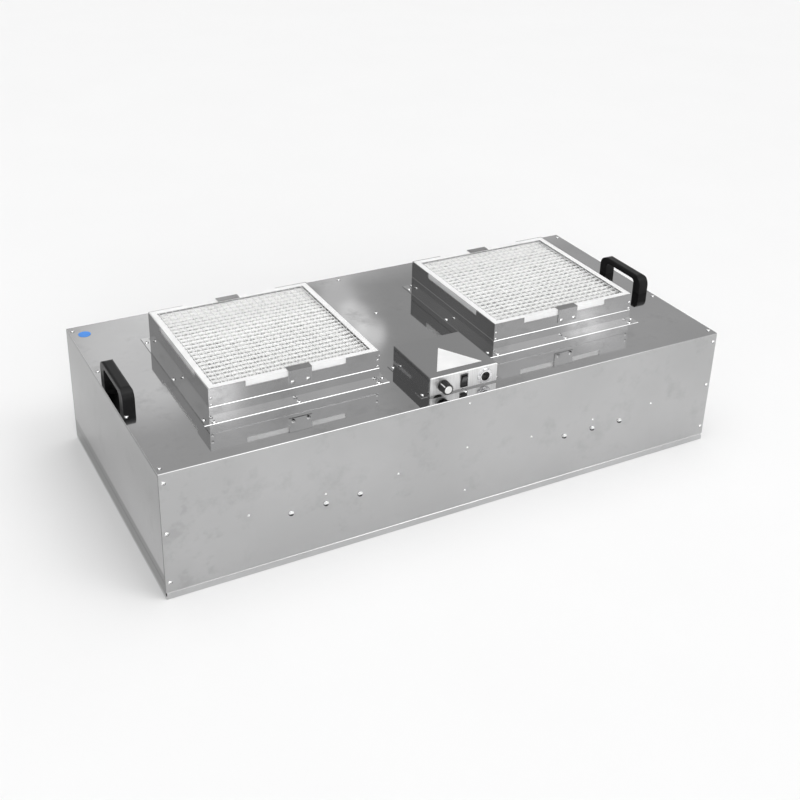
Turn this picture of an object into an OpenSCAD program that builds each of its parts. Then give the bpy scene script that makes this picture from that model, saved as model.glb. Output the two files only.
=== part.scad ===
// Ceiling fan filter unit with two fans: a stainless steel casing with a folded skin, two
// end panels and a base frame, two square intake collars with pleated prefilters, a control
// box, two carrying handles, two plug fans inside and a fine filter at the bottom.
// +X runs along the length, -Y is the control side, +Z is up. The origin is the middle of
// the base frame's underside.

/* [Casing] */
// Length of the casing along X
casing_length = 1175; // [1150:5:1250]
// Depth of the casing along Y
casing_depth = 575; // [570:5:640]
// Height from the base frame's underside to the top sheet
casing_height = 252; // [248:1:290]
// Thickness of the casing's sheet steel
sheet = 1.2; // [1:0.1:1.5]
// Outer radius of the long folds
fold_r = 2.5; // [2:0.1:5]
// Height of the lower edge of the front and back skins
skin_lift = 14; // [10:1:20]
// Height of the lower edge of the end panels
panel_lift = 7; // [4:1:9]
// Width of the end panels' flanges
panel_flange = 30; // [28:1:40]
// Gap left between two sheets that lie side by side
seam_gap = 0.2; // [0.1:0.05:0.3]

/* [Base frame] */
// Height of the upstand that the skins are screwed to
upstand_height = 50; // [44:1:60]
// Thickness of the base frame's wall and flange
base_wall = 1.5; // [1.2:0.1:3]
// Height of the chamfer along the frame's front and back shoulders
frame_fold = 1.4; // [0.6:0.1:1.4]
// Width of the flange that carries the fine filter
base_flange = 28; // [24:1:34]

/* [Fine filter] */
// Height of the fine filter's frame
fine_height = 69; // [60:1:69]
// Width of the fine filter's channel frame
fine_wall = 14; // [10:1:18]
// Thickness of the fine filter's channel frame
fine_sheet = 1.6; // [1.2:0.1:2.5]
// Space between the base frame and the fine filter
fine_play = 6; // [5.5:0.5:8]
// Height of the rubber gasket under the fine filter
gasket_height = 5; // [3:0.5:6]
// Number of pleats in the fine filter
fine_pleats = 90; // [40:1:120]
// Depth of the fine filter's pleats
fine_pleat_depth = 55; // [40:1:55]
// Number of gaps along the fine filter's guard
guard_gap_count = 15; // [8:1:15]
// Width of the bars of the fine filter's guard
guard_bar = 3; // [2:0.5:5]
// Thickness of both wire guards
guard_thickness = 1.4; // [1:0.1:1.6]

/* [Fans] */
// Space between the control box's flange and each collar's flange
fan_gap = 24; // [20:1:29]
// Height of the bolts that hold the motor bridges
bridge_bolt_z = 105.5; // [104:0.5:108]
// Distance between two neighbouring bridge bolts
bridge_bolt_pitch = 67; // [50:1:72]
// Width of a motor bridge
bridge_width = 168; // [165:1:180]
// Thickness of the motor bridge's sheet
bridge_sheet = 2; // [1.5:0.1:2.5]
// Height of the motor bridge's flanges
bridge_flange = 20; // [18:1:20]
// Outer radius of the impeller
impeller_r = 128; // [120:1:135]
// Number of impeller blades
blade_count = 7; // [5:1:9]
// Thickness of the impeller's sheet
impeller_sheet = 1.5; // [1:0.1:2]
// Radius of the circle that a blade is bent to
blade_bend_r = 80; // [76:1:84]
// Distance of that circle's centre from the fan's axis
blade_bend_x = 70; // [66:1:74]
// Radius at which the blades begin
blade_start_r = 75; // [70:1:80]
// Height of the impeller's back plate above the motor bridge
impeller_lift = 52; // [50:1:54]
// Height of the impeller from its back plate to its inlet
impeller_height = 67; // [62:1:70]
// Height over which the impeller's shroud curves outwards
shroud_drop = 24; // [18:1:28]
// Radius of the external rotor
rotor_r = 51; // [48:1:54]
// Height of the external rotor
rotor_height = 66; // [60:1:70]
// Width of the motor's foot around the stator core
motor_foot_rim = 14; // [13:0.5:16]
// Height of the motor's foot
motor_foot_h = 6; // [5:0.5:7]
// Radius of the motor shaft
shaft_r = 6; // [5:0.5:8]
// Outer radius of the motor bearings
bearing_r = 14; // [12:0.5:16]
// Height of a motor bearing
bearing_height = 9; // [7:1:11]
// Radial running clearance of a shaft in its bearing
running_play = 0.03; // [0.02:0.01:0.08]

/* [Intake rings] */
// Inner radius of the intake ring's throat
throat_r = 82; // [78:1:84]
// Radius of the intake ring's bell
bell_r = 16; // [12:1:18]
// Outer radius of the intake ring's flange
ring_flange_r = 130; // [124:1:140]
// Radial gap between the throat and the impeller's inlet
inlet_play = 3; // [2:0.5:5]

/* [Airflow baffles] */
// Half the length of an airflow baffle along X
baffle_half = 190; // [180:1:198]
// Height of the baffles' rivets above the bridge bolts
baffle_rivet_lift = 19.5; // [19:0.5:20.5]
// Distance between two neighbouring baffle rivets
baffle_rivet_pitch = 145; // [120:1:150]
// Height of the baffles' flanges
baffle_flange = 22; // [20:1:22]

/* [Intake collars] */
// Outer width of an intake collar
collar_size = 331; // [320:1:335]
// Height of the collar's flanged lower part
collar_base_height = 27; // [24:1:30]
// Height of the whole collar above the top sheet
collar_height = 63; // [58:1:72]
// Width of the collar's mounting flange
collar_flange = 14.5; // [13:0.5:17]
// Distance of the collar screws from the collar's wall
collar_screw_offset = 8.5; // [7.5:0.5:9]
// Distance of the outer collar screws from the ends of the flange
collar_screw_inset = 20; // [17:1:40]
// Height of the chamfers where the collar's two parts meet
collar_fold = 0.8; // [0.4:0.1:1]
// Width of the ledges inside the collar
ledge = 12; // [10:1:15]
// Length of the notch in each wall of the filter holder
notch_length = 194; // [150:2:220]
// Depth of the notches
notch_depth = 11; // [6:0.5:14]
// Width of the slits at the corners of the mounting flange
corner_slit = 0.6; // [0.4:0.1:1]

/* [Prefilters] */
// Gap between a prefilter and its holder
prefilter_play = 0.8; // [0.5:0.1:1.5]
// Width of the prefilter frame's border
prefilter_lip = 11; // [8:0.5:14]
// Thickness of the prefilter frame's wall
prefilter_wall = 1.5; // [1:0.1:2]
// Number of pleats in a prefilter
prefilter_pleats = 22; // [12:1:24]
// Thickness of the prefilter's fleece, measured upright
fleece = 3; // [2:0.5:4]
// Number of gaps along each side of a prefilter's wire guard
mesh_gap_count = 10; // [6:1:10]
// Width of the wire guard's bars
mesh_bar = 1.6; // [1:0.1:3]

/* [Filter clips] */
// Width of a clip
clip_width = 45; // [36:1:60]
// Thickness of a clip
clip_sheet = 1.5; // [1:0.1:2]
// Height of a clip's upright leg
clip_leg = 28; // [24:1:33]
// Length of the clip's tab over the filter
clip_tab = 14; // [10:1:20]
// Distance between a clip's two screws
clip_screw_pitch = 30; // [20:1:34]
// Sideways offset of the front clips from the middle
clip_shift = 6; // [0:1:10]

/* [Control box] */
// Width of the control box
box_width = 142; // [136:1:150]
// Depth of the control box
box_depth = 142; // [130:1:148]
// Height of the control box
box_height = 39; // [37:1:50]
// Distance from the casing's front face to the control panel
box_setback = 25.5; // [20:0.5:30]
// Thickness of the control box's sheet
box_sheet = 1; // [0.8:0.1:1.5]
// Height of the chamfers along the control box's upper folds
box_fold = 1; // [0.4:0.1:1]
// Width of the control box's flanges
box_flange = 15; // [13:0.5:17]
// Distance of the flange screws from the box's front and back
box_screw_inset = 14; // [12:0.5:20]
// Distance of the knob and the inlet from the middle of the panel
control_spacing = 44; // [40:1:48]
// Height of the controls above the top sheet
control_lift = 19.5; // [18:0.5:21]

/* [Electrical parts] */
// Space between the electrical parts and the tray's sides
tray_margin = 10; // [8:0.5:12]
// Length of the circuit board along X
board_length = 56; // [44:1:60]
// Depth of the circuit board along Y
board_depth = 36; // [30:1:40]
// Radius of a motor capacitor
capacitor_r = 10; // [8:0.5:11]
// Length of a motor capacitor with its neck
capacitor_length = 49; // [40:1:52]
// Distance between two neighbouring terminals
terminal_pitch = 8; // [6:0.5:8]
// Depth of the terminal block
terminal_depth = 20; // [16:1:21]
// Height of the terminal block
terminal_height = 16; // [12:1:20]
// Radius of the cable grommets' groove
grommet_r = 9; // [8:0.5:9.5]

/* [Speed knob] */
// Radius of the knob's body
knob_r = 11.5; // [10:0.5:12]
// Length of the knob
knob_length = 18; // [14:1:22]
// Radius of the knob's bright cap
knob_cap_r = 7.5; // [6:0.5:9]
// Angle of the pointer at rest, clockwise from straight up
knob_rest_angle = -45; // [-150:5:150]
// Radius of the knob's shaft
knob_shaft_r = 3; // [2:0.5:3.5]

/* [Rocker switch] */
// Width of the switch's bezel
bezel_width = 15; // [13:0.5:21]
// Height of the switch's bezel
bezel_height = 27; // [25:0.5:29]
// Half the angle that the rocker swings through
rocker_angle = 9; // [6:1:11]

/* [Power inlet] */
// Radius of the inlet's outer ring
inlet_r = 15.5; // [14:0.5:17]
// Length of the inlet's collar in front of the panel
inlet_length = 4; // [3.5:0.5:6]
// Number of notches in the inlet's ring
inlet_notches = 8; // [4:1:10]
// Radius of the inlet's socket
socket_r = 9; // [8.8:0.1:10]
// Depth of the pins' insert behind the panel
socket_recess = 6; // [5.5:0.5:7]
// Length of the inlet's pins
inlet_pin_length = 4.5; // [3:0.5:4.5]

/* [Handles] */
// Length of a handle
handle_length = 140; // [130:1:160]
// Height of a handle
handle_height = 38; // [34:1:50]
// Width of a handle
handle_width = 22; // [18:1:24]
// Thickness of the handle's grip
grip_thickness = 11; // [9:0.5:14]
// Thickness of the handle's legs
leg_thickness = 22; // [18:1:26]
// Radius of the handle's outer corners
handle_corner_r = 20; // [12:1:24]
// Distance of the handles' middle from the casing's ends
handle_inset = 19.5; // [16:0.5:22]
// Radius of the bolts that hold the handles
handle_bolt_r = 3; // [2:0.5:4]

/* [Fasteners] */
// Radius of the casing screws' shank
screw_r = 2; // [1.5:0.1:2.5]
// Radius of the casing screws' head
screw_head_r = 3.8; // [3:0.1:4.5]
// Height of the casing screws' head
screw_head_h = 2.2; // [1.5:0.1:3]
// Length of the casing screws' shank
screw_length = 8; // [6:0.5:8]
// Radial play of a fastener in its hole
hole_play = 0.15; // [0.1:0.05:0.4]
// Distance of the end screws from the casing's ends
end_inset = 8; // [6:0.5:10]
// Distance of the corner screws from the casing's folds
corner_inset = 18; // [14:1:24]
// Height of the lowest row of screws
low_screw_z = 34; // [28:1:40]
// Radius of a bridge bolt's shank
bolt_r = 3; // [2.5:0.5:4]
// Radius of a bridge bolt's head
bolt_head_r = 5; // [5:0.5:6]
// Height of a bridge bolt's head
bolt_head_h = 3; // [2.5:0.1:4]
// Radius of a rivet's head
rivet_head_r = 2.6; // [2.2:0.1:3.5]
// Height of a rivet's head
rivet_head_h = 0.9; // [0.6:0.1:1.2]
// Radius of a rivet's shank
rivet_r = 1.6; // [1.2:0.1:1.8]
// Length of a rivet's shank behind its head
rivet_length = 5; // [4:0.5:5.5]

/* [Hidden] */

$fn = 48;
eps = 0.01;

// Casing planes
half_l = casing_length / 2;
half_d = casing_depth / 2;
top_z = casing_height;
top_under = top_z - sheet;
step = sheet + seam_gap;
base_in = step + base_wall;
panel_half_d = half_d - step;
panel_top = top_under - seam_gap;

// Fine filter planes
fine_half_l = half_l - base_in - fine_play;
fine_half_d = half_d - base_in - fine_play;
fine_z = base_wall + gasket_height;
fine_top = fine_z + fine_height;

// Fan planes
bridge_top = bridge_bolt_z - bridge_flange / 2 - 3.5 + bridge_sheet;
bridge_z = bridge_top - bridge_sheet;
rotor_gap = 4;
rotor_z = bridge_top + motor_foot_h + rotor_gap;
rotor_wall = 4;
rotor_flange_h = 3;
impeller_z = bridge_top + impeller_lift;
impeller_top = impeller_z + impeller_height;
inlet_in_r = throat_r + sheet + inlet_play;
baffle_rivet_z = bridge_bolt_z + baffle_rivet_lift;
baffle_z = baffle_rivet_z + baffle_flange / 2 - sheet;
stator_r = rotor_r - rotor_wall - 3;
motor_foot_r = stator_r + motor_foot_rim;
core_top = rotor_z + rotor_height - rotor_wall - 3;
ring_overlap = 6;

// Collar planes
collar_half = collar_size / 2;
fan_x = box_width / 2 + box_flange + fan_gap + collar_flange + collar_half;
collar_screw_reach = collar_half + collar_flange - collar_screw_inset;
collar_top = top_z + collar_height;
holder_z = top_z + collar_base_height;
ledge_top = holder_z + sheet;
prefilter_half = collar_half - sheet - prefilter_play;
mesh_top = collar_top - prefilter_wall;
mesh_z = mesh_top - guard_thickness;

// Control box planes
box_front = -half_d + box_setback;
box_back = box_front + box_depth;
box_mid_y = (box_front + box_back) / 2;
box_top = top_z + box_height;
control_z = top_z + control_lift;
pivot_depth = 2;
tray_half = box_width / 2 - box_sheet - seam_gap;
tray_top = top_z + box_sheet;
terminal_ways = 6;
capacitor_y = box_back - 14 - capacitor_r;
terminal_y = capacitor_y - capacitor_r - 1.5 - terminal_depth;
grommet_x = 34;
cable_y = terminal_y - 16;

// Fastener places, as distances along the sheet that they hold
row_reach = half_d - corner_inset;
top_rows = [-row_reach, -row_reach / 3, row_reach / 3, row_reach];
side_rows = [low_screw_z, (low_screw_z + top_z - corner_inset) / 2, top_z - corner_inset];
end_x = half_l - end_inset;
divider_x = -8;
divider_flange = 20;
collar_screw_line = collar_half + collar_screw_offset;
collar_sides = [0, 90, 180, 270];
handle_x = half_l - handle_inset;
handle_bolt_y = handle_length / 2 - leg_thickness / 2;
clip_screw_z = collar_top - clip_leg + 5;
motor_screw_circle = motor_foot_r - 5;

// ---------------------------------------------------------------- shapes and places

// Outline that stands on the first axis, with its two upper corners rounded
module arch(half_w, height, r) {
    translate([-half_w, 0]) square([2 * half_w, height - r]);
    translate([-half_w + r, 0]) square([2 * (half_w - r), height]);
    for (s = [-1, 1]) translate([s * (half_w - r), height - r]) circle(r = r);
}

// Extrudes an outline drawn in Y and Z along X, centred on X = 0
module along_x(length) {
    rotate([90, 0, 90]) linear_extrude(height = length, center = true) children();
}

// Square ring that stands on z
module square_ring(outer_half, inner_half, z, height) {
    translate([0, 0, z]) linear_extrude(height = height) difference() {
        square(2 * outer_half, center = true);
        square(2 * inner_half, center = true);
    }
}

// Frustum that narrows by its own height on every side
module chamfer_block(half_x, half_y, height) {
    linear_extrude(height = height, scale = [(half_x - height) / half_x, (half_y - height) / half_y])
        square([2 * half_x, 2 * half_y], center = true);
}

// Block whose lower or upper edges are chamfered
module folded_block(half_x, half_y, z, height, low, high) {
    translate([0, 0, z + low]) linear_extrude(height = height - low - high)
        square([2 * half_x, 2 * half_y], center = true);
    if (low > 0) translate([0, 0, z + low]) mirror([0, 0, 1]) chamfer_block(half_x, half_y, low);
    if (high > 0) translate([0, 0, z + height - high]) chamfer_block(half_x, half_y, high);
}

// Square ring with a chamfer outside
module folded_ring(outer_half, inner_half, z, height, low, high) {
    difference() {
        folded_block(outer_half, outer_half, z, height, low, high);
        translate([0, 0, z - 1]) linear_extrude(height = height + 2) square(2 * inner_half, center = true);
    }
}

// Rectangular ring that stands on z
module frame_ring(half_x, half_y, wall, z, height) {
    translate([0, 0, z]) linear_extrude(height = height) difference() {
        square([2 * half_x, 2 * half_y], center = true);
        square([2 * (half_x - wall), 2 * (half_y - wall)], center = true);
    }
}

// Places children on both long faces, with their own +Z pointing outwards
module on_long_faces(x, z) {
    for (s = [-1, 1]) translate([x, s * half_d, z]) rotate([-90 * s, 0, 0]) children();
}

module at_fan(s) {
    translate([s * fan_x, 0, 0]) children();
}

// Places children at the screws of one collar, at the height of the top sheet
module at_collar_screws(s) {
    at_fan(s) for (a = collar_sides, x = [-1, 0, 1])
        rotate(a) translate([x * collar_screw_reach, -collar_screw_line, top_z]) children();
}

// Places children at the top sheet's screws into the end panels and the divider
module at_top_screws() {
    for (x = [-end_x, 0, end_x], y = top_rows) translate([x, y, top_z]) children();
}

module at_side_screws() {
    for (x = [-end_x, end_x], z = side_rows) on_long_faces(x, z) children();
}

module at_bridge_bolts(s) {
    for (k = [-1, 0, 1]) on_long_faces(s * fan_x + k * bridge_bolt_pitch, bridge_bolt_z) children();
}

module at_baffle_rivets(s) {
    for (k = [-1, 0, 1]) on_long_faces(s * fan_x + k * baffle_rivet_pitch, baffle_rivet_z) children();
}

// Rivets of the divider and of the base frame, in the middle of each long face
module at_divider_rivets() {
    for (k = [0, 1, 2]) on_long_faces(0, lerp(upstand_height - 4, top_z - 16, k / 2)) children();
}

module at_box_screws() {
    for (sx = [-1, 1], sy = [-1, 1])
        translate([sx * (box_width / 2 + box_flange / 2),
            box_mid_y + sy * (box_depth / 2 - box_screw_inset), top_z])
            children();
}

module at_handle_bolts() {
    for (sx = [-1, 1], sy = [-1, 1])
        translate([sx * handle_x, sy * handle_bolt_y, top_z]) children();
}

// Front clips stand a little to the right, the back clips a little to the left
module at_clips(s) {
    at_fan(s) for (a = [0, 180])
        rotate(a) translate([clip_shift, -collar_half, 0]) children();
}

module at_motor_screws(s) {
    at_fan(s) for (a = [45:90:315])
        rotate(a) translate([motor_screw_circle, 0, bridge_top + motor_foot_h]) children();
}

module at_tray_screws() {
    for (s = [-1, 1]) translate([s * box_width / 4, box_back - 12, top_z + box_sheet]) children();
}

function lerp(a, b, t) = a + (b - a) * t;

function arc_points(middle, r, from, to, steps = 10) =
    [for (i = [0:steps]) let (a = lerp(from, to, i / steps)) middle + r * [cos(a), sin(a)]];

// ---------------------------------------------------------------- fasteners

// Hole through the sheets on both sides of the plane z = 0
module drill(r, depth = 8) {
    translate([0, 0, -depth]) cylinder(r = r + hole_play, h = 2 * depth);
}

// Pan head on z = 0 with its shank below
module pan_screw(r, length, head_r, head_h) {
    rim = head_h * 0.45;
    translate([0, 0, -length]) cylinder(r = r, h = length + eps);
    cylinder(r = head_r, h = rim);
    translate([0, 0, rim - eps]) cylinder(r1 = head_r, r2 = head_r * 0.55, h = head_h - rim);
}

module casing_screw(lift = 0) {
    translate([0, 0, lift]) pan_screw(screw_r, screw_length, screw_head_r, screw_head_h);
}

// Flanged hexagon bolt with its nut behind the sheets
module bridge_bolt() {
    washer = 0.8;
    grip = sheet + seam_gap + bridge_sheet;
    cylinder(r = bolt_head_r, h = washer);
    cylinder(r = bolt_head_r - 0.6, h = bolt_head_h, $fn = 6);
    translate([0, 0, -grip - 6]) cylinder(r = bolt_r, h = grip + 6 + eps);
    translate([0, 0, -grip - 4]) cylinder(r = bolt_head_r, h = 4, $fn = 6);
}

module rivet(length = rivet_length) {
    translate([0, 0, -length]) cylinder(r = rivet_r, h = length + eps);
    cylinder(r1 = rivet_head_r, r2 = rivet_head_r * 0.6, h = rivet_head_h);
}

// ---------------------------------------------------------------- casing

module casing_skin() {
    color("#b4b6b8") difference() {
        along_x(casing_length) difference() {
            arch(half_d, top_z, fold_r);
            arch(half_d - sheet, top_under, fold_r - sheet + 0.1);
            translate([-half_d - 1, -1]) square([casing_depth + 2, skin_lift + 1]);
        }
        for (s = [-1, 1]) {
            at_fan(s) translate([0, 0, top_under - 1]) cylinder(r = throat_r + bell_r + 2, h = sheet + 2);
            at_collar_screws(s) drill(screw_r);
            at_bridge_bolts(s) drill(bolt_r);
            at_baffle_rivets(s) drill(rivet_r);
        }
        at_top_screws() drill(screw_r);
        at_side_screws() drill(screw_r);
        at_divider_rivets() drill(rivet_r);
        at_box_screws() drill(screw_r);
        at_handle_bolts() drill(handle_bolt_r);
        at_tray_screws() drill(screw_r);
        translate([grommet_x, cable_y, top_under - 1]) cylinder(r = grommet_r, h = sheet + 2);
    }
}

module end_panel(s) {
    plate_x = half_l - sheet;
    color("#b0b2b4") difference() {
        union() {
            translate([s * (half_l - sheet / 2), 0, 0]) along_x(sheet) difference() {
                arch(panel_half_d, panel_top, fold_r);
                translate([-half_d, -1]) square([casing_depth, panel_lift + 1]);
            }
            translate([s * (half_l - panel_flange / 2), 0, 0]) along_x(panel_flange) difference() {
                arch(panel_half_d, panel_top, fold_r);
                arch(panel_half_d - sheet, panel_top - sheet, fold_r - sheet + 0.1);
                translate([-half_d, -1]) square([casing_depth, upstand_height + 3]);
            }
        }
        at_top_screws() drill(screw_r);
        at_side_screws() drill(screw_r);
        at_handle_bolts() drill(handle_bolt_r);
    }
}

// Outline of both shoulders, with their upper outer corners chamfered
module shoulder_outline() {
    translate([-half_d, 0]) square([casing_depth, skin_lift - frame_fold]);
    polygon([[-half_d, skin_lift - frame_fold - eps], [half_d, skin_lift - frame_fold - eps],
        [half_d, skin_lift - frame_fold], [half_d - frame_fold, skin_lift],
        [-half_d + frame_fold, skin_lift], [-half_d, skin_lift - frame_fold]]);
}

// Rolled section with a shoulder under each skin, an upstand behind them and a flange inwards
module base_frame() {
    color("#a9acae") difference() {
        union() {
            translate([-half_l, -half_d, 0]) cube([casing_length, casing_depth, panel_lift]);
            along_x(casing_length - 2 * step) shoulder_outline();
            translate([-half_l + step, -half_d + step, 0])
                cube([casing_length - 2 * step, casing_depth - 2 * step, upstand_height]);
        }
        translate([-half_l + base_in, -half_d + base_in, base_wall])
            cube([casing_length - 2 * base_in, casing_depth - 2 * base_in, upstand_height]);
        translate([-half_l + base_flange, -half_d + base_flange, -1])
            cube([casing_length - 2 * base_flange, casing_depth - 2 * base_flange, base_wall + 2]);
        at_side_screws() drill(screw_r);
        at_divider_rivets() drill(rivet_r);
    }
}

// Upright sheet between the two fan chambers, with flanges under the top and behind both skins
module centre_divider() {
    low = fine_top + 3;
    tall = top_under - low;
    half_w = panel_half_d;
    color("#a4a7aa") difference() {
        union() {
            translate([divider_x - sheet, -half_w, low]) cube([sheet, 2 * half_w, tall]);
            translate([divider_x - sheet, -half_w, top_under - sheet])
                cube([divider_flange, 2 * half_w, sheet]);
            for (y = [-half_w, half_w - sheet])
                translate([divider_x - sheet, y, low]) cube([divider_flange, sheet, tall]);
        }
        at_top_screws() drill(screw_r);
        at_divider_rivets() drill(rivet_r);
        translate([divider_x - sheet / 2, cable_y, divider_hole_z]) rotate([0, 90, 0])
            cylinder(r = grommet_r, h = 4 * sheet, center = true);
    }
}
divider_hole_z = top_z - 34;

// Plate under the impeller that turns the air outwards, with the rotor passing through it
module airflow_baffle(s) {
    low = baffle_z + sheet - baffle_flange;
    color("#a4a7aa") difference() {
        at_fan(s) {
            translate([-baffle_half, -panel_half_d, baffle_z])
                cube([2 * baffle_half, 2 * panel_half_d, sheet]);
            for (y = [-panel_half_d, panel_half_d - sheet])
                translate([-baffle_half, y, low]) cube([2 * baffle_half, sheet, baffle_flange]);
        }
        at_fan(s) translate([0, 0, baffle_z - 1]) cylinder(r = rotor_r + 14, h = sheet + 2);
        at_baffle_rivets(s) drill(rivet_r);
    }
}

// ---------------------------------------------------------------- fans

module motor_bridge(s) {
    color("#9da0a3") difference() {
        at_fan(s) {
            translate([-bridge_width / 2, -panel_half_d, bridge_z])
                cube([bridge_width, 2 * panel_half_d, bridge_sheet]);
            for (y = [-panel_half_d, panel_half_d - bridge_sheet])
                translate([-bridge_width / 2, y, bridge_z])
                    cube([bridge_width, bridge_sheet, bridge_flange]);
            for (x = [-bridge_width / 2, bridge_width / 2 - bridge_sheet])
                translate([x, -panel_half_d + 14, bridge_z])
                    cube([bridge_sheet, 2 * (panel_half_d - 14), bridge_flange]);
        }
        at_bridge_bolts(s) drill(bolt_r);
        at_motor_screws(s) drill(screw_r, motor_foot_h + 4);
    }
}

// Bell mouth under the top sheet that leads the air into the impeller
module intake_ring(s) {
    bell_x = throat_r + bell_r;
    ring_low = impeller_top - ring_overlap;
    bend = [bell_x, top_under - bell_r];
    color("#c9ccce") at_fan(s) rotate_extrude() polygon(concat([[throat_r, ring_low]],
        arc_points(bend, bell_r, 180, 90), [[ring_flange_r, top_under], [ring_flange_r, top_under - sheet]],
        arc_points(bend, bell_r - sheet, 90, 180), [[throat_r + sheet, ring_low]]));
}

module motor_stator(s) {
    color("#5c6064") difference() {
        at_fan(s) {
            translate([0, 0, bridge_top]) cylinder(r = motor_foot_r, h = motor_foot_h);
            translate([0, 0, bridge_top]) cylinder(r = stator_r, h = core_top - bridge_top);
        }
        at_fan(s) translate([0, 0, bridge_top - 1]) cylinder(r = bearing_r, h = core_top - bridge_top + 2);
        at_motor_screws(s) drill(screw_r, motor_foot_h + 4);
    }
}

// Two ball bearings pressed into the ends of the stator's bore
module motor_bearings(s) {
    color("#d0d2d4") at_fan(s) for (z = [bridge_top + 2, core_top - bearing_height])
        translate([0, 0, z]) difference() {
            cylinder(r = bearing_r, h = bearing_height);
            translate([0, 0, -1]) cylinder(r = shaft_r + running_play, h = bearing_height + 2);
            for (h = [-1, bearing_height - 1]) translate([0, 0, h]) difference() {
                cylinder(r = bearing_r - 2, h = 2);
                translate([0, 0, -1]) cylinder(r = shaft_r + 2.5, h = 4);
            }
        }
}

// Rotor can that turns around the stator, with its shaft and the impeller's flange
module motor_rotor(s) {
    dome = 5;
    color("#3c4044") at_fan(s) {
        translate([0, 0, rotor_z]) difference() {
            union() {
                cylinder(r = rotor_r, h = rotor_height - dome);
                translate([0, 0, rotor_height - dome]) cylinder(r1 = rotor_r, r2 = rotor_r - dome, h = dome);
                translate([0, 0, impeller_z - rotor_flange_h - rotor_z])
                    cylinder(r = rotor_r + 10, h = rotor_flange_h);
            }
            translate([0, 0, -1]) cylinder(r = rotor_r - rotor_wall, h = rotor_height - rotor_wall + 1);
        }
        translate([0, 0, bridge_top + 1])
            cylinder(r = shaft_r, h = rotor_z + rotor_height - 1 - bridge_top - 1);
    }
}

// Shroud curve from the inlet to the rim, as points of radius and height
shroud_curve = [for (i = [0:8]) let (a = i * 90 / 8)
    [lerp(inlet_in_r, impeller_r, 1 - cos(a)), impeller_top - 8 - shroud_drop * sin(a)]];

module shroud_section(lift) {
    polygon(concat([[inlet_in_r, impeller_top]], shroud_curve,
        [for (i = [8:-1:0]) shroud_curve[i] + [0.4 * impeller_sheet, lift]],
        [[inlet_in_r + impeller_sheet, impeller_top]]));
}

// One backward-curved blade: the part of a bent strip between the inlet and the rim
module blade_outline() {
    intersection() {
        translate([blade_bend_x, 0]) difference() {
            circle(r = blade_bend_r + impeller_sheet / 2);
            circle(r = blade_bend_r - impeller_sheet / 2);
        }
        difference() {
            circle(r = impeller_r - 1);
            circle(r = blade_start_r);
        }
        square(2 * impeller_r);
    }
}

module impeller(s) {
    color("#54585c") at_fan(s) {
        translate([0, 0, impeller_z]) difference() {
            cylinder(r = impeller_r, h = impeller_sheet);
            translate([0, 0, -1]) cylinder(r = rotor_r + hole_play, h = impeller_sheet + 2);
        }
        rotate_extrude() shroud_section(impeller_sheet);
        intersection() {
            translate([0, 0, impeller_z + impeller_sheet / 2]) for (i = [0:blade_count - 1])
                rotate(i * 360 / blade_count) linear_extrude(height = impeller_height) blade_outline();
            rotate_extrude() polygon(concat([[0, impeller_z], [0, impeller_top - 8 + impeller_sheet / 2]],
                [for (p = shroud_curve) p + [0, impeller_sheet / 2]], [[impeller_r, impeller_z]]));
        }
    }
}

// ---------------------------------------------------------------- intake collars

// Lower part: walls on a flange that is screwed to the top sheet, and a ledge inwards on top
module collar_base(s) {
    flange_half = collar_half + collar_flange;
    color("#b2b4b6") difference() {
        at_fan(s) {
            folded_ring(flange_half, collar_half - sheet, top_z, sheet, 0, sheet / 2);
            folded_ring(collar_half, collar_half - sheet, top_z, collar_base_height, 0, collar_fold);
            square_ring(collar_half - collar_fold, collar_half - ledge, holder_z - sheet, sheet);
        }
        at_fan(s) for (sx = [-1, 1], sy = [-1, 1])
            translate([sx * (collar_half - corner_slit / 2) - corner_slit / 2,
                sy * (collar_half + collar_flange / 2) - collar_flange / 2 - eps, top_z - 1])
                cube([corner_slit, collar_flange + 2 * eps, sheet + 2]);
        at_collar_screws(s) drill(screw_r);
    }
}

// Upper part: walls with a notch in each side, on a ledge that carries the prefilter
module filter_holder(s) {
    color("#b8babc") difference() {
        at_fan(s) {
            folded_ring(collar_half, collar_half - sheet, holder_z, collar_top - holder_z, collar_fold, 0);
            square_ring(collar_half - collar_fold, collar_half - ledge, holder_z, sheet);
        }
        at_fan(s) for (a = collar_sides) rotate(a)
            translate([-notch_length / 2, -collar_half - 1, collar_top - notch_depth])
                cube([notch_length, sheet + 2, notch_depth + 1]);
        at_clip_screws(s) drill(screw_r);
        at_collar_rivets(s) drill(rivet_r, 4);
    }
}

module at_clip_screws(s) {
    at_clips(s) for (x = [-1, 1])
        translate([x * clip_screw_pitch / 2, 0, clip_screw_z]) rotate([90, 0, 0]) children();
}

// Two rivets beside each upright corner, on the front and back walls
module at_collar_rivets(s) {
    at_fan(s) for (a = [0, 180], x = [-1, 1], z = [3.5, 17])
        rotate(a) translate([x * (collar_half - 4), -collar_half, holder_z + z])
            rotate([90, 0, 0]) children();
}

module prefilter_frame(s) {
    tall = collar_top - ledge_top;
    color("#f0f1ef") at_fan(s) {
        square_ring(prefilter_half, prefilter_half - prefilter_wall, ledge_top, tall);
        for (z = [ledge_top, mesh_top])
            square_ring(prefilter_half, prefilter_half - prefilter_lip, z, prefilter_wall);
    }
}

// Zigzag of a pleated sheet as an outline: count pleats between -half and half, low to high
module pleats(count, half, low, high, thick) {
    ridge = [for (i = [0:2 * count]) [lerp(-half, half, i / (2 * count)), i % 2 == 0 ? low + thick : high]];
    polygon(concat(ridge, [for (i = [2 * count:-1:0]) ridge[i] - [0, thick]]));
}

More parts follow.
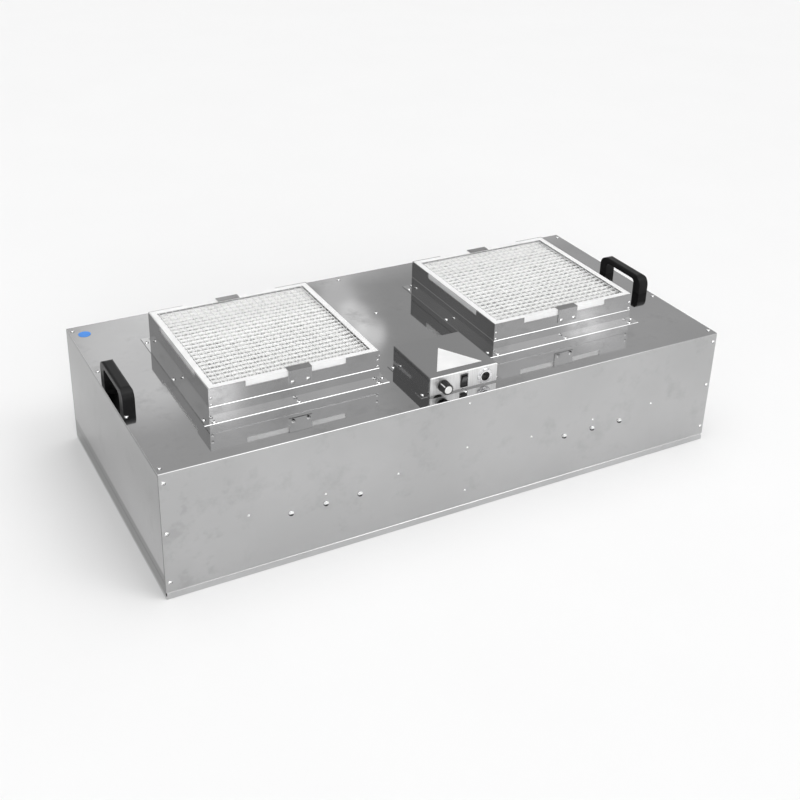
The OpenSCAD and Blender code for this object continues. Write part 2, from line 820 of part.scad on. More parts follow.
module prefilter_fleece(s) {
    half = prefilter_half - prefilter_wall - hole_play;
    color("#f6f6f4") at_fan(s) along_x(2 * half)
        pleats(prefilter_pleats, half, ledge_top + prefilter_wall, mesh_z, fleece);
}

// Flat wire guard with square gaps
module wire_guard(half_x, half_y, count_x, count_y, bar, z) {
    pitch_x = (2 * half_x - bar) / count_x;
    pitch_y = (2 * half_y - bar) / count_y;
    translate([0, 0, z]) linear_extrude(height = guard_thickness) difference() {
        square([2 * half_x, 2 * half_y], center = true);
        for (i = [0:count_x - 1], j = [0:count_y - 1])
            translate([-half_x + bar + i * pitch_x, -half_y + bar + j * pitch_y])
                square([pitch_x - bar, pitch_y - bar]);
    }
}

module prefilter_guard(s) {
    half = prefilter_half - prefilter_wall - hole_play;
    color("#fafafa") at_fan(s) wire_guard(half, half, mesh_gap_count, mesh_gap_count, mesh_bar, mesh_z);
}

// Angle clips on the front and back walls: a leg outside the wall and a tab over the filter
module filter_clips(s) {
    color("#a6a8aa") difference() {
        at_clips(s) {
            translate([-clip_width / 2, -clip_sheet, collar_top - clip_leg])
                cube([clip_width, clip_sheet, clip_leg + clip_sheet]);
            translate([-clip_width / 2, -clip_sheet, collar_top])
                cube([clip_width, clip_tab + clip_sheet, clip_sheet]);
        }
        at_clip_screws(s) drill(screw_r);
    }
}

// ---------------------------------------------------------------- fine filter

module fine_filter_gasket() {
    color("#202224") frame_ring(fine_half_l, fine_half_d, fine_wall, base_wall, gasket_height);
}

// Channel section, open inwards, that the guard and the pleated pack are bonded into
module fine_filter_frame() {
    color("#c2c5c8") {
        frame_ring(fine_half_l, fine_half_d, fine_sheet, fine_z, fine_height);
        for (z = [fine_z, fine_top - fine_sheet])
            frame_ring(fine_half_l, fine_half_d, fine_wall, z, fine_sheet);
    }
}

module fine_filter_guard() {
    half_x = fine_half_l - fine_sheet - hole_play;
    half_y = fine_half_d - fine_sheet - hole_play;
    count_y = round(guard_gap_count / 2);
    color("#eceeee")
        wire_guard(half_x, half_y, guard_gap_count, count_y, guard_bar, fine_z + fine_sheet);
}

module fine_filter_pack() {
    low = fine_z + fine_sheet + guard_thickness;
    half_x = fine_half_l - fine_sheet - hole_play;
    half_y = fine_half_d - fine_sheet - hole_play;
    color("#f4f4f0") rotate([90, 0, 0]) linear_extrude(height = 2 * half_y, center = true)
        pleats(fine_pleats, half_x, low, low + fine_pleat_depth, 2);
}

// ---------------------------------------------------------------- control box

// Five-sided box with a flange along each side, and the openings for the controls
module control_cover() {
    color("#aeb0b2") difference() {
        union() {
            translate([0, box_mid_y, 0])
                folded_block(box_width / 2, box_depth / 2, top_z, box_height, 0, box_fold);
            translate([-box_width / 2 - box_flange, box_front + 5, top_z])
                cube([box_width + 2 * box_flange, box_depth - 10, box_sheet]);
        }
        translate([-box_width / 2 + box_sheet, box_front + box_sheet, top_z - 1])
            cube([box_width - 2 * box_sheet, box_depth - 2 * box_sheet, box_height - box_sheet + 1]);
        at_knob() drill(pot_bush_r);
        at_inlet() drill(inlet_r - 4);
        at_switch() translate([0, 0, -2]) linear_extrude(height = 4)
            square([bezel_width - 2, bezel_height - 2], center = true);
        at_box_screws() drill(screw_r);
    }
}
pot_bush_r = 4.5;

// Places on the control panel, with +Z pointing out of the panel and +Y up
module on_panel(x) {
    translate([x, box_front, control_z]) rotate([90, 0, 0]) children();
}

module at_knob() {
    on_panel(-control_spacing) children();
}

module at_switch() {
    on_panel(0) children();
}

module at_inlet() {
    on_panel(control_spacing) children();
}

// Tray under the cover that carries the electrical parts
module control_tray() {
    deep = box_depth - 2 * (box_sheet + seam_gap);
    lip = 12;
    color("#9ea1a4") difference() {
        translate([-tray_half, box_front + box_sheet + seam_gap, top_z]) {
            cube([2 * tray_half, deep, box_sheet]);
            for (x = [0, 2 * tray_half - box_sheet]) translate([x, 0, 0]) cube([box_sheet, deep, lip]);
        }
        at_tray_screws() drill(screw_r);
        translate([grommet_x, cable_y, top_z - 1]) cylinder(r = grommet_r, h = box_sheet + 2);
    }
}

// Circuit board on four posts, with a transformer and two small capacitors
module speed_board() {
    post = 6;
    board = 1.6;
    inset = 4;
    color("#2f7a4a") translate([-tray_half + tray_margin + 2, box_front + 51, tray_top]) {
        translate([0, 0, post]) cube([board_length, board_depth, board]);
        for (x = [inset, board_length - inset], y = [inset, board_depth - inset])
            translate([x, y, 0]) cylinder(r = 2.5, h = post + eps);
        translate([0, 0, post + board - eps]) {
            translate([10, board_depth / 2 - 8, 0]) cube([16, 16, 12]);
            for (y = [0.25, 0.75])
                translate([board_length - 20, y * board_depth, 0]) cylinder(r = 5, h = 14);
        }
    }
}

// Two motor capacitors lying at the back of the tray
module capacitors() {
    neck = 5;
    color("#d8dadb") for (s = [-1, 1])
        translate([s * (tray_half - tray_margin), capacitor_y, tray_top + capacitor_r])
            rotate([0, -90 * s, 0]) {
                cylinder(r = capacitor_r, h = capacitor_length - neck);
                translate([0, 0, capacitor_length - neck - eps]) cylinder(r = 0.7 * capacitor_r, h = neck);
            }
}

// Terminal strip with a screw pocket above each wire entry
module terminal_block() {
    entry = 2;
    length = terminal_ways * terminal_pitch;
    color("#e6e4dc") translate([tray_half - tray_margin - length, terminal_y, tray_top]) difference() {
        cube([length, terminal_depth, terminal_height]);
        for (i = [0:terminal_ways - 1]) translate([(i + 0.5) * terminal_pitch, 0, 0]) {
            for (y = [0.25, 0.75]) translate([0, y * terminal_depth, terminal_height / 2])
                cylinder(r = entry, h = terminal_height);
            translate([0, -1, terminal_height / 3]) rotate([-90, 0, 0])
                cylinder(r = entry, h = 0.4 * terminal_depth);
        }
    }
}

// Potentiometer behind the panel, its bush and its nut in front
module speed_pot() {
    color("#8a8d90") at_knob() difference() {
        union() {
            translate([0, 0, -box_sheet - 12]) cylinder(r = 9, h = 12);
            translate([0, 0, -box_sheet - eps]) cylinder(r = pot_bush_r, h = box_sheet + 4);
            cylinder(r = 7, h = 1.8, $fn = 6);
        }
        translate([0, 0, -box_sheet - 10]) cylinder(r = knob_shaft_r + running_play, h = 20);
    }
}

module knob_shaft() {
    color("#c0c2c4") at_knob() translate([0, 0, -box_sheet - 9])
        cylinder(r = knob_shaft_r, h = knob_length + 4);
}

// Knob with a skirt, a tapered fluted body, a pointer groove and a seat for its cap
module speed_knob() {
    flutes = 18;
    flute_r = 1.2;
    skirt = 2;
    seat = 1;
    bottom = 1;
    flute_z = bottom + skirt + 0.4;
    crown = 0.5;
    tip_r = knob_r - 0.9;
    color("#1c1c1e") at_knob() rotate([0, 0, -knob_rest_angle]) difference() {
        translate([0, 0, bottom]) union() {
            cylinder(r = knob_r, h = skirt);
            translate([0, 0, skirt])
                cylinder(r1 = knob_r - 0.3, r2 = tip_r, h = knob_length - skirt - crown);
            translate([0, 0, knob_length - crown]) cylinder(r1 = tip_r, r2 = tip_r - crown, h = crown);
        }
        for (i = [1:flutes - 1]) rotate(i * 360 / flutes)
            translate([0, knob_r - 0.8, flute_z]) cylinder(r = flute_r, h = knob_length);
        translate([-1, tip_r - 1, flute_z]) cube([2, 3, knob_length]);
        translate([0, 0, bottom - 1]) cylinder(r = pot_bush_r + 3.5, h = 5);
        cylinder(r = knob_shaft_r, h = knob_length - 3);
        translate([0, 0, bottom + knob_length - seat]) cylinder(r = knob_cap_r, h = seat + 1);
    }
}

module knob_cap() {
    color("#e8e8e6") at_knob() translate([0, 0, knob_length]) {
        cylinder(r = knob_cap_r, h = 1.1);
        translate([0, 0, 1.1 - eps]) cylinder(r1 = knob_cap_r - 0.4, r2 = knob_cap_r - 1, h = 0.5);
    }
}

// Half the height of the space that the rocker swings in
rocker_cavity = bezel_height / 2 - 2.2;
rocker_half = rocker_cavity - 1.1;
rocker_width = bezel_width - 4.4;
pin_r = 1.2;

// Snap-in housing with a bezel in front of the panel and a pocket for the rocker
module switch_body() {
    bezel = 1.6;
    color("#141416") at_switch() difference() {
        union() {
            linear_extrude(height = bezel) square([bezel_width, bezel_height], center = true);
            translate([0, 0, -14]) linear_extrude(height = 14 + eps)
                square([bezel_width - 2.4, bezel_height - 2.4], center = true);
        }
        translate([0, 0, -10]) linear_extrude(height = 20)
            square([rocker_width + 0.8, 2 * rocker_cavity], center = true);
        translate([0, 0, -pivot_depth]) rotate([0, 90, 0])
            cylinder(r = pin_r + running_play, h = rocker_width + 3, center = true);
    }
}

// Rocker with a shallow hollow in its face, tipped to its lower stop, and its pivot pin
module rocker() {
    face = 5;
    color("#232326") at_switch() translate([0, 0, -pivot_depth]) rotate([rocker_angle, 0, 0]) {
        rotate([0, 90, 0]) linear_extrude(height = rocker_width, center = true) difference() {
            polygon([[3.5, -rocker_half + 2], [3.5, rocker_half - 2], [-1, rocker_half],
                [-face, rocker_half - 0.4], [-face, -rocker_half + 0.4], [-1, -rocker_half]]);
            translate([-face - 40, 0]) circle(r = 41.2, $fn = 96);
        }
        rotate([0, 90, 0]) cylinder(r = pin_r, h = rocker_width + 1.8, center = true);
    }
}

// Round metal shell: a ring on the panel, a collar in front and a nut behind
module power_inlet() {
    color("#d4d6d8") at_inlet() difference() {
        union() {
            cylinder(r = inlet_r, h = 2);
            translate([0, 0, 2 - eps]) cylinder(r1 = inlet_r, r2 = inlet_r - 0.8, h = 0.8);
            cylinder(r = socket_r + 2.2, h = inlet_length);
            translate([0, 0, -box_sheet - 10]) cylinder(r = inlet_r - 4, h = box_sheet + 10 + eps);
            translate([0, 0, -box_sheet - 4]) cylinder(r = inlet_r - 1, h = 4, $fn = 6);
        }
        translate([0, 0, -box_sheet - 11]) cylinder(r = socket_r, h = 30);
        for (i = [0:inlet_notches - 1]) rotate((i + 0.5) * 360 / inlet_notches)
            translate([socket_r + 3.4, -1.6, 1.2]) cube([inlet_r, 3.2, inlet_length]);
    }
}

// Black insert with three pins in its socket
module inlet_socket() {
    color("#1a1a1c") at_inlet() {
        translate([0, 0, -box_sheet - 10]) cylinder(r = socket_r, h = box_sheet + 10 - socket_recess);
        for (a = [90, 210, 330]) rotate(a)
            translate([socket_r / 2, 0, -socket_recess - eps]) cylinder(r = 1.2, h = inlet_pin_length);
    }
}

// ---------------------------------------------------------------- handles

// Bridge handle: an arch with rounded corners in Y and Z, crowned across its width
module handle(s) {
    opening_half = handle_length / 2 - leg_thickness;
    color("#1b1b1d") difference() {
        translate([s * handle_x, 0, top_z]) intersection() {
            along_x(handle_width) difference() {
                arch(handle_length / 2, handle_height, handle_corner_r);
                translate([0, -eps]) arch(opening_half, handle_height - grip_thickness + eps, 8);
            }
            rotate([90, 0, 0]) linear_extrude(height = handle_length + 2, center = true)
                arch(handle_width / 2, handle_height, 5);
        }
        at_handle_bolts() cylinder(r = handle_bolt_r, h = handle_bolt_depth);
    }
}
handle_bolt_depth = 14;

// ---------------------------------------------------------------- fastener groups

module handle_bolts() {
    stack = sheet + seam_gap + sheet;
    color("#b8babc") at_handle_bolts() {
        translate([0, 0, -stack - 5]) cylinder(r = handle_bolt_r * 1.8, h = 5, $fn = 6);
        translate([0, 0, -stack - eps]) cylinder(r = handle_bolt_r, h = stack + handle_bolt_depth - 2);
    }
}

module casing_screws() {
    color("#d6d8da") {
        at_top_screws() casing_screw();
        at_side_screws() casing_screw();
    }
}

module collar_screws() {
    color("#d6d8da") for (s = [-1, 1]) at_collar_screws(s) casing_screw(sheet);
}

module clip_screws() {
    grip = sheet + clip_sheet;
    color("#d6d8da") for (s = [-1, 1]) at_clip_screws(s)
        translate([0, 0, clip_sheet]) pan_screw(screw_r, grip + 0.6, screw_head_r, screw_head_h);
}

module box_screws() {
    color("#d6d8da") {
        at_box_screws() casing_screw(box_sheet);
        at_tray_screws() casing_screw();
    }
}

module bridge_bolts() {
    color("#d6d8da") for (s = [-1, 1]) at_bridge_bolts(s) bridge_bolt();
}

module motor_screws() {
    color("#d6d8da") for (s = [-1, 1])
        at_motor_screws(s) pan_screw(screw_r, motor_foot_h + bridge_sheet + 3, screw_head_r, screw_head_h);
}

module rivets() {
    color("#ced0d2") {
        at_divider_rivets() rivet();
        for (s = [-1, 1]) {
            at_baffle_rivets(s) rivet();
            at_collar_rivets(s) rivet(sheet + 0.6);
        }
    }
}

// ---------------------------------------------------------------- wiring

// Rubber rings in the top sheet and in the divider, around the cables
module cable_grommets() {
    color("#18181a") {
        translate([grommet_x, cable_y, top_z]) grommet(sheet);
        translate([divider_x - sheet / 2, cable_y, divider_hole_z]) rotate([0, 90, 0])
            translate([0, 0, sheet / 2]) grommet(sheet);
    }
}

// Grommet whose groove holds the sheet that lies below z = 0
module grommet(thick) {
    rotate_extrude() {
        translate([grommet_r - 3, -thick - 1.5]) square([3, thick + 3]);
        translate([grommet_r - 3, -thick - 1.5]) square([5, 1.5]);
    }
}

function curve_point(a, b, c, d, t) = 0.5 * (2 * b + (c - a) * t + (2 * a - 5 * b + 4 * c - d) * t * t
    + (3 * b - a - 3 * c + d) * t * t * t);

function smooth_route(p, n) = concat([for (i = [0:len(p) - 2], k = [0:n - 1])
    curve_point(p[max(i - 1, 0)], p[i], p[i + 1], p[min(i + 2, len(p) - 1)], k / n)], [p[len(p) - 1]]);

function unit(v) = v / norm(v);

function direction(p, i) = unit(p[min(i + 1, len(p) - 1)] - p[max(i - 1, 0)]);

function ring_points(p, i, r, sides) =
    let (t = direction(p, i), u = unit(cross(t, [0.2, 1, 0.1])), v = cross(u, t))
    [for (k = [0:sides - 1]) p[i] + r * (cos(k * 360 / sides) * u + sin(k * 360 / sides) * v)];

// Round tube along a route, as one closed skin
module tube(route, r, sides = 8) {
    n = len(route);
    points = [for (i = [0:n - 1]) each ring_points(route, i, r, sides)];
    sides_of = [for (i = [0:n - 2], k = [0:sides - 1]) let (j = (k + 1) % sides)
        [i * sides + k, (i + 1) * sides + k, (i + 1) * sides + j, i * sides + j]];
    polyhedron(points, concat(sides_of, [[for (k = [0:sides - 1]) k]],
        [[for (k = [sides - 1:-1:0]) (n - 1) * sides + k]]), convexity = 6);
}

cable_r = 2.6;

// Each motor's cable: along the bridge, up beside the baffle and into the control box
right_route = [[232, 0, 97], [224, 0, 97], [216, 0, 106], [207, 0, 117], [194, -2, 121], [150, -30, 122],
    [86, -90, 128], [60, -150, 170], [40, cable_y, 210], [37, cable_y, 236], [37, cable_y, 258]];
left_route = [[-232, 0, 97], [-224, 0, 97], [-216, 0, 106], [-207, 0, 117], [-194, -2, 121],
    [-150, -30, 122], [-86, -90, 128], [-66, -150, 170], [-46, cable_y, 208], [-8, cable_y, 218],
    [22, cable_y, 222], [31, cable_y, 238], [31, cable_y, 258]];

module fan_cables() {
    color("#2a2a2c") {
        tube(smooth_route(right_route, 3), cable_r);
        tube(smooth_route(left_route, 3), cable_r);
    }
}

// ---------------------------------------------------------------- nodes

casing_skin();
end_panel(-1);  // end_panel_left
end_panel(1);  // end_panel_right
base_frame();
centre_divider();
airflow_baffle(-1);  // airflow_baffle_left
airflow_baffle(1);  // airflow_baffle_right
motor_bridge(-1);  // motor_bridge_left
motor_bridge(1);  // motor_bridge_right
intake_ring(-1);  // intake_ring_left
intake_ring(1);  // intake_ring_right
motor_stator(-1);  // motor_stator_left
motor_stator(1);  // motor_stator_right
motor_bearings(-1);  // motor_bearings_left
motor_bearings(1);  // motor_bearings_right
motor_rotor(-1);  // motor_rotor_left
motor_rotor(1);  // motor_rotor_right
impeller(-1);  // impeller_left
impeller(1);  // impeller_right
collar_base(-1);  // collar_base_left
collar_base(1);  // collar_base_right
filter_holder(-1);  // filter_holder_left
filter_holder(1);  // filter_holder_right
prefilter_frame(-1);  // prefilter_frame_left
prefilter_frame(1);  // prefilter_frame_right
prefilter_fleece(-1);  // prefilter_fleece_left
prefilter_fleece(1);  // prefilter_fleece_right
prefilter_guard(-1);  // prefilter_guard_left
prefilter_guard(1);  // prefilter_guard_right
filter_clips(-1);  // filter_clips_left
filter_clips(1);  // filter_clips_right
fine_filter_frame();
fine_filter_pack();
fine_filter_guard();
fine_filter_gasket();
control_cover();
control_tray();
speed_board();
capacitors();
terminal_block();
speed_pot();
knob_shaft();
speed_knob();
knob_cap();
switch_body();
rocker();
power_inlet();
inlet_socket();
handle(-1);  // handle_left
handle(1);  // handle_right
handle_bolts();
casing_screws();
collar_screws();
clip_screws();
box_screws();
bridge_bolts();
motor_screws();
rivets();
cable_grommets();
fan_cables();
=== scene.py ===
# %% [markdown]
# # A ceiling fan filter unit
#
# The unit is a long, low box of polished stainless sheet. Two square collars on top hold pleated
# prefilters, and a small box between them holds the controls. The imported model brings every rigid
# piece at its real size. This script gives those pieces their finishes and adds what is too fine
# for the model: the filters' wire mesh, the folded fleece, the crosses in the screws and the
# pointer's paint. The last cells set the room that the polished metal shows.

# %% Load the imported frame
import math

import bmesh
import bpy
from mathutils import Matrix, Vector, noise


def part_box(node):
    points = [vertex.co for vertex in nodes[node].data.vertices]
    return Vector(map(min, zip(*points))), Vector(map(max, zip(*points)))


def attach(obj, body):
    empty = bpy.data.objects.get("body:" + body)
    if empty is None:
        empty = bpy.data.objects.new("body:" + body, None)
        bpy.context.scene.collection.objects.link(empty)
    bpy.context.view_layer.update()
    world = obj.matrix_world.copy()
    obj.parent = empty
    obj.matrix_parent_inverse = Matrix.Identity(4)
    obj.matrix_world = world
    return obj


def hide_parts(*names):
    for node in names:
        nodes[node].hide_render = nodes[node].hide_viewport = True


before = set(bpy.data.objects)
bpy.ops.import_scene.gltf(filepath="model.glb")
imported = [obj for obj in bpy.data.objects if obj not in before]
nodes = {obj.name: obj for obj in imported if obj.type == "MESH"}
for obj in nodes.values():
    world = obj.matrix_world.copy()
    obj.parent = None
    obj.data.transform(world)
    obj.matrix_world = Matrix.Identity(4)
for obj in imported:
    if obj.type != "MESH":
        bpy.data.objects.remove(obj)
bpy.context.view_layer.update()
scene = bpy.context.scene
scene.view_settings.view_transform = "Standard"

# %% [markdown]
# ## The camera
#
# A camera is a place, three axes and a lens. The axes come from three angles: first round the
# upright axis, then up, then a little roll. The shift slides the picture over the sensor without
# turning the camera, so upright edges keep their slant.

# %% Place the camera
CAMERA_PLACE = (-1.0459, -1.9046, 1.3600)
azimuth, elevation, roll = (math.radians(angle) for angle in (-29.73, 25.84, 2.07))
outward = math.cos(elevation)
back = Vector((math.sin(azimuth) * outward, -math.cos(azimuth) * outward, math.sin(elevation)))
flat = Vector((math.cos(azimuth), math.sin(azimuth), 0))
rising = back.cross(flat)
side = math.cos(roll) * flat + math.sin(roll) * rising
top = math.cos(roll) * rising - math.sin(roll) * flat

camera = bpy.data.objects.new("camera", bpy.data.cameras.new("camera"))
scene.collection.objects.link(camera)
scene.camera = camera
camera.data.sensor_width = 36
camera.data.lens = 54.66
camera.data.shift_x = -0.0194
camera.data.shift_y = -0.1169
camera.data.clip_end = 100
turn = Matrix((side, top, back)).transposed().to_4x4()
camera.matrix_world = Matrix.Translation(CAMERA_PLACE) @ turn
print("lens:", round(camera.data.lens, 1), "mm")

# %% [markdown]
# ## Node graphs as sums
#
# A finish is a graph of nodes. Such a graph is long in code, so a small class wraps an output and
# lets Python's own operators add the Math nodes: a mask then reads like the sum that it is. All
# other nodes come from one method, which sets their options first and then feeds their inputs.

# %% Graphs, finishes and their sockets
class Value:
    """The output of a node, which sums and products can be made of."""

    def __init__(self, graph, socket):
        self.graph = graph
        self.socket = socket

    def _math(self, operation, *operands):
        inputs = dict(enumerate(operands))
        return self.graph.node("ShaderNodeMath", {"operation": operation}, inputs)

    def __add__(self, other):
        return self._math("ADD", self, other)

    def __sub__(self, other):
        return self._math("SUBTRACT", self, other)

    def __mul__(self, other):
        return self._math("MULTIPLY", self, other)

    def __rsub__(self, other):
        return self._math("SUBTRACT", other, self)

    def __abs__(self):
        return self._math("ABSOLUTE", self)

    __radd__ = __add__
    __rmul__ = __mul__

    def fraction(self):
        return self._math("FRACT", self)

    def clamped(self, low=0.0, high=1.0):
        return self.graph.node("ShaderNodeClamp", {}, {"Value": self, "Min": low, "Max": high})

    def between(self, low, high):
        """0 below LOW and 1 above HIGH, with a smooth step from one to the other."""
        inputs = {"Value": self, "From Min": low, "From Max": high}
        return self.graph.node("ShaderNodeMapRange", {"interpolation_type": "SMOOTHSTEP"}, inputs)


class Graph:
    """A node tree, and the ways to add to it."""

    def __init__(self, tree):
        self.tree = tree

    def node(self, kind, options, inputs, output=0):
        made = self.tree.nodes.new(kind)
        for option, choice in options.items():
            setattr(made, option, choice)
        for key, value in inputs.items():
            self.feed(made.inputs[key], value)
        return Value(self, made.outputs[output])

    def feed(self, socket, value):
        if isinstance(value, Value):
            self.tree.links.new(value.socket, socket)
        elif isinstance(value, tuple) and len(value) == 3 and socket.type == "RGBA":
            socket.default_value = (*value, 1)
        else:
            socket.default_value = value

    def split(self, vector):
        return [self.node("ShaderNodeSeparateXYZ", {}, {0: vector}, axis) for axis in range(3)]


class Finish(Graph):
    """A material under construction, around one Principled shader."""

    def __init__(self, name, **fixed):
        self.material = bpy.data.materials.new(name)
        self.material.use_nodes = True
        super().__init__(self.material.node_tree)
        self.shader = self.tree.nodes["Principled BSDF"]
        self.set(**fixed)

    def set(self, **sockets):
        for name, value in sockets.items():
            self.feed(self.shader.inputs[name.replace("_", " ")], value)

    def place(self):
        return self.node("ShaderNodeTexCoord", {}, {}, "Object")

    def stretched(self, scale):
        return self.node("ShaderNodeMapping", {}, {"Vector": self.place(), "Scale": scale})

    def noise(self, scale, detail=2.0, rough=0.5, where=None):
        inputs = {"Vector": where or self.place(), "Scale": scale, "Detail": detail,
                  "Roughness": rough}
        return self.node("ShaderNodeTexNoise", {}, inputs)

    def blend(self, factor, first, second):
        mixed = self.tree.nodes.new("ShaderNodeMix")
        mixed.data_type = "RGBA"
        for socket, value in ((0, factor), (6, first), (7, second)):
            self.feed(mixed.inputs[socket], value)
        return Value(self, mixed.outputs[2])

    def bump(self, height, distance, strength=1.0):
        inputs = {"Height": height, "Distance": distance, "Strength": strength}
        return self.node("ShaderNodeBump", {}, inputs)


def dress(finish, *names):
    """Gives one finish to the named CAD nodes; NAME* stands for all nodes that start so."""
    for name in names:
        for node, piece in nodes.items():
            if node == name or (name[-1] == "*" and node.startswith(name[:-1])):
                piece.data.materials.clear()
                piece.data.materials.append(finish.material)


def shade(colour, factor):
    """A colour made darker by a factor."""
    return tuple(part * factor for part in colour)


# %% [markdown]
# ## Polished stainless sheet
#
# Rolled stainless is almost a mirror. Three things keep it from looking like glass: soft cloudy
# patches where the polish is uneven, smudges left by hands and cloths, and a gentle waviness that
# bends what the sheet mirrors. Each one is a noise at its own scale.

# %% Mix the steels
def waves(steel, depth):
    """The sheet's gentle waviness, as a normal."""
    return steel.bump(steel.noise(3.5, 1.0, 0.4), depth)


def sheet_steel(name, colour, gloss, cloud, wave, mask=None):
    """Polished sheet. MASK makes a factor for its colour from a point's X, Y and Z."""
    steel = Finish(name, Metallic=1.0)
    clouds = steel.noise(4.0, 3.0, 0.55).between(0.38, 0.68)
    smudges = steel.noise(16.0, 5.0, 0.65).between(0.50, 0.80)
    clear = (0.88 + 0.12 * clouds - 0.22 * smudges).clamped()
    tone = steel.blend(clear, shade(colour, 0.3), colour)
    if mask:
        tone = steel.blend(mask(*steel.split(steel.place())), (0.0, 0.0, 0.0), tone)
    steel.set(
        Base_Color=tone,
        Roughness=(gloss + cloud * clouds + 0.04 * smudges).clamped(0.03, 0.6),
        Normal=waves(steel, wave),
    )
    return steel


def near(value, place, reach):
    """1 where VALUE is PLACE, falling to 0 at REACH on either side."""
    return 1.0 - abs(value - place).between(0.0, reach)


CLIP_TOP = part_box("filter_clips_left")[1].z
BASE_TOP, PANEL_TOP, PANEL_EDGE = 0.031, 0.249, 0.283


def skin_mask(x, y, z):
    """Wiping has left streaks on the skin's front near its left end."""
    streaks = x.graph.noise(26.0, 3.0, 0.6).between(0.50, 0.66)
    front = (0 - y).between(0.285, 0.287)
    return 1.0 - 0.11 * streaks * front * (1.0 - x.between(-0.50, -0.40))


def seam_shade(y, z):
    """Painted shade for the gaps along the end panels' edges, and a fainter line of it above the
    base.
    """
    edges = near(z, PANEL_TOP, 0.0045) + abs(y).between(PANEL_EDGE - 0.0008, PANEL_EDGE + 0.0008)
    return (0.9 * edges + 0.3 * near(z, BASE_TOP, 0.005)).clamped()


def panel_shade(x, y, z):
    """Painted shade: the end panels darken towards the back and the top, along the seams and near
    the floor.
    """
    shaded = (1.0 - 0.45 * z.between(0.05, 0.24)) * (1.0 - 0.45 * y.between(-0.28, 0.28))
    return shaded * (0.40 + 0.60 * z.between(0.044, 0.052)) * (1.0 - seam_shade(y, z))


def lip_mask(x, y, z):
    """The clips' lips are darker than their plates."""
    return 1.0 - 0.4 * z.between(CLIP_TOP - 0.0014, CLIP_TOP - 0.0010)


casing_steel = sheet_steel("polished_casing_steel", (0.51, 0.51, 0.512), 0.04, 0.03, 0.0004,
                           skin_mask)
panel_steel = sheet_steel("polished_panel_steel", (0.60, 0.60, 0.602), 0.06, 0.04, 0.0004,
                          panel_shade)
collar_steel = sheet_steel("polished_collar_steel", (0.62, 0.62, 0.622), 0.05, 0.03, 0.0002)
clip_steel = sheet_steel("polished_clip_steel", (0.64, 0.64, 0.642), 0.12, 0.03, 0.0002, lip_mask)
frame_steel = sheet_steel("base_frame_steel", (0.58, 0.58, 0.584), 0.15, 0.06, 0.0003)
inner_steel = sheet_steel("galvanised_inner_steel", (0.52, 0.53, 0.55), 0.30, 0.10, 0.0003)

# Where the seams carry painted shade, the sheet also stops being metal, so it mirrors nothing along
# them.
_, along, up = panel_steel.split(panel_steel.place())
panel_steel.set(Metallic=1.0 - seam_shade(along, up))

# The control panel on the cover's front is brushed upright, which spreads what it mirrors.
COVER_FRONT, FLANGE_TOP = 0.2595, 0.255
cover_steel = Finish("polished_cover_steel", Metallic=1.0)
_, along, up = cover_steel.split(cover_steel.place())
panel = (0 - along).between(COVER_FRONT - 0.0003, COVER_FRONT + 0.0003)
panel *= up.between(FLANGE_TOP - 0.001, FLANGE_TOP + 0.001)
brushing = cover_steel.noise(1.0, 3.0, 0.7, cover_steel.stretched((700.0, 1.0, 25.0)))
brushed = cover_steel.blend(brushing, (0.5, 0.5, 0.5), (1.0, 1.0, 1.0))
cover_steel.set(
    Base_Color=cover_steel.blend(panel, (0.46, 0.46, 0.462), brushed),
    Roughness=(0.06 + 0.34 * panel + 0.1 * panel * brushing).clamped(),
    Normal=waves(cover_steel, 0.0002),
)
dress(casing_steel, "casing_skin")
dress(panel_steel, "end_panel_*")
dress(collar_steel, "collar_base_*", "filter_holder_*")
dress(clip_steel, "filter_clips_*")
dress(cover_steel, "control_cover")
dress(frame_steel, "base_frame")
dress(inner_steel, "centre_divider", "airflow_baffle_*", "motor_bridge_*", "intake_ring_*",
      "control_tray")

# %% [markdown]
# ## Small bright metal
#
# Screws, bolts and rivets are stainless too, but turned or pressed, so they are brighter than the
# sheet and have no clouds. Screw heads carry painted shade on the sides that look down or to the
# right, and the bolts of the motor bridges carry painted shade below their middle. The inlet's
# shell is chromed.

# %% Mix the bright metals
def bright_metal(name, colour, rough, dark=None, lit_mask=None):
    """Fine-grained metal. A mask function, if one is given, paints shade: the metal takes the dark
    colour where its mask is 0.
    """
    metal = Finish(name, Metallic=1.0)
    speckle = metal.noise(900.0, 2.0)
    mask, lower = speckle, shade(colour, 0.9)
    if lit_mask:
        mask, lower = lit_mask(metal), dark
    metal.set(Base_Color=metal.blend(mask, lower, colour), Roughness=rough + 0.1 * speckle)
    return metal


def facing_up(metal):
    """0 where a face looks down or to the right, and 1 on the other faces."""
    facing = metal.split(metal.node("ShaderNodeNewGeometry", {}, {}, "Normal"))
    return (0.86 * facing[2] - 0.5 * facing[0]).between(-0.20, -0.04)


def upper_half(metal):
    """1 in the upper half of the bridge bolts' heads, which all stand at one height."""
    low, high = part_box("bridge_bolts")
    middle, radius = (low.z + high.z) / 2, (high.z - low.z) / 2
    up = metal.split(metal.place())[2]
    return up.between(middle - 0.25 * radius, middle + 0.20 * radius)
